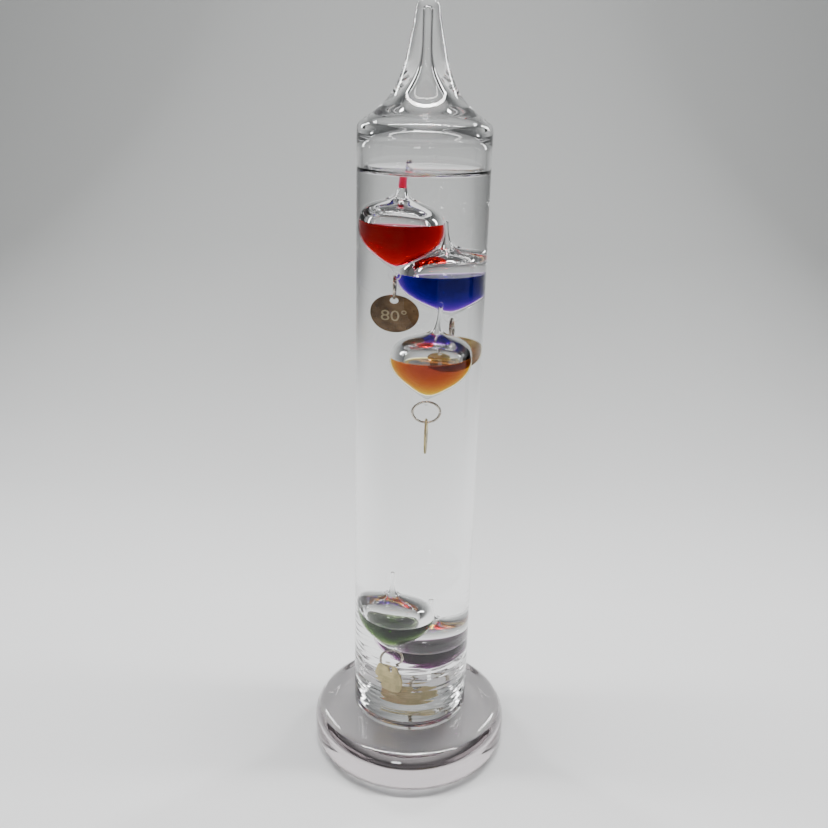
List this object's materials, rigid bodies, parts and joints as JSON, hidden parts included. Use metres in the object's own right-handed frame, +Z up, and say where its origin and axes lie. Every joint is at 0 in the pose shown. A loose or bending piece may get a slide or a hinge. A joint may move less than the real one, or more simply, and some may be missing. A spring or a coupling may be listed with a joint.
{
  "type": "galileo thermometer",
  "caption": "Sealed glass cylinder on a thick round glass foot, filled with clear liquid in which coloured glass bulbs float or sink to show the room temperature on hanging brass tags.",
  "frame": {"origin": "centre of the foot's flat underside", "axes": "+Z up along the glass cylinder, -Y towards the front, +X to the viewer's right"},
  "size_m": [0.0766, 0.0766, 0.28],
  "materials": {
    "clear_glass": "polished",
    "foot_glass": "polished",
    "carrier_liquid": "clear colourless oil",
    "ring_wire": "plain drawn wire",
    "tag_brass": "satin, engraved",
    "red_dye": "clear dyed liquid",
    "blue_dye": "clear dyed liquid",
    "orange_dye": "clear dyed liquid",
    "green_dye": "clear dyed liquid",
    "purple_dye": "clear dyed liquid"
  },
  "bodies": {
    "glass_vessel": {"glass_foot": "foot_glass", "glass_tube": "clear_glass", "carrier_liquid": "carrier_liquid"},
    "red_float": {"red_bulb": "clear_glass", "red_dye": "red_dye", "red_tip_dye": "red_dye"},
    "red_ring": {"red_ring": "ring_wire"},
    "red_tag": {"red_tag": "tag_brass"},
    "blue_float": {"blue_bulb": "clear_glass", "blue_dye": "blue_dye"},
    "blue_ring": {"blue_ring": "ring_wire"},
    "blue_tag": {"blue_tag": "tag_brass"},
    "orange_float": {"orange_bulb": "clear_glass", "orange_dye": "orange_dye"},
    "orange_ring": {"orange_ring": "ring_wire"},
    "orange_tag": {"orange_tag": "tag_brass"},
    "green_float": {"green_bulb": "clear_glass", "green_dye": "green_dye"},
    "green_ring": {"green_ring": "ring_wire"},
    "green_tag": {"green_tag": "tag_brass"},
    "purple_float": {"purple_bulb": "clear_glass", "purple_dye": "purple_dye"},
    "purple_ring": {"purple_ring": "ring_wire"},
    "purple_tag": {"purple_tag": "tag_brass"}
  },
  "joints": [
    {"name": "red_rise_and_sink", "type": "slide", "parent": "glass_vessel", "child": "red_float", "axis": [0, 0, 1], "range_m": [-0.012, 0], "stiffness_N_per_m": 2.4, "springref_m": 0.1, "deforming": ["carrier_liquid"]},
    {"name": "blue_rise_and_sink", "type": "slide", "parent": "red_float", "child": "blue_float", "axis": [0, 0, 1], "range_m": [-0.014, 0], "stiffness_N_per_m": 1.6, "springref_m": 0.1, "deforming": ["carrier_liquid"]},
    {"name": "orange_rise_and_sink", "type": "slide", "parent": "blue_float", "child": "orange_float", "axis": [0, 0, 1], "range_m": [-0.02, 0], "stiffness_N_per_m": 0.85, "springref_m": 0.1, "deforming": ["carrier_liquid"]},
    {"name": "purple_rise_and_sink", "type": "slide", "parent": "glass_vessel", "child": "purple_float", "axis": [0, 0, 1], "range_m": [0, 0.02], "deforming": ["carrier_liquid"]},
    {"name": "green_rise_and_sink", "type": "slide", "parent": "purple_float", "child": "green_float", "axis": [0, 0, 1], "range_m": [0, 0.026], "deforming": ["carrier_liquid"]},
    {"name": "red_ring_swing", "type": "hinge", "parent": "red_float", "child": "red_ring", "pos_m": [-0.00665, -0.0032, 0.19233], "axis": [-0.1392, -0.9903, 0], "range_deg": [-15, 10]},
    {"name": "red_tag_swing", "type": "hinge", "parent": "red_ring", "child": "red_tag", "pos_m": [-0.00665, -0.0032, 0.18473], "axis": [-0.1392, -0.9903, 0], "range_deg": [-25, 15]},
    {"name": "blue_ring_swing", "type": "hinge", "parent": "blue_float", "child": "blue_ring", "pos_m": [0.0068, 0.007, 0.17635], "axis": [-0.0698, 0.9976, 0], "range_deg": [-12, 20]},
    {"name": "blue_tag_swing", "type": "hinge", "parent": "blue_ring", "child": "blue_tag", "pos_m": [0.0068, 0.007, 0.16875], "axis": [-0.0698, 0.9976, 0], "range_deg": [-15, 25]},
    {"name": "orange_ring_swing", "type": "hinge", "parent": "orange_float", "child": "orange_ring", "pos_m": [0.00245, -0.0064, 0.14886], "axis": [1, 0, 0], "range_deg": [-25, 25]},
    {"name": "orange_tag_swing", "type": "hinge", "parent": "orange_ring", "child": "orange_tag", "pos_m": [0.00245, -0.0064, 0.14126], "axis": [1, 0, 0], "range_deg": [-25, 25]},
    {"name": "green_ring_swing", "type": "hinge", "parent": "green_float", "child": "green_ring", "pos_m": [-0.0056, -0.0049, 0.04611], "axis": [0.8829, 0.4695, 0], "range_deg": [-15, 15]},
    {"name": "green_tag_swing", "type": "hinge", "parent": "green_ring", "child": "green_tag", "pos_m": [-0.0056, -0.0049, 0.03851], "axis": [0.8829, 0.4695, 0], "range_deg": [-20, 20]},
    {"name": "purple_ring_swing", "type": "hinge", "parent": "purple_float", "child": "purple_ring", "pos_m": [0.0039, 0.0081, 0.02976], "axis": [1, 0, 0], "range_deg": [-20, 0]},
    {"name": "purple_tag_swing", "type": "hinge", "parent": "purple_ring", "child": "purple_tag", "pos_m": [0.00136, 0.0081, 0.02314], "axis": [0.7431, 0, -0.6691], "range_deg": [-20, 0]}
  ]
}
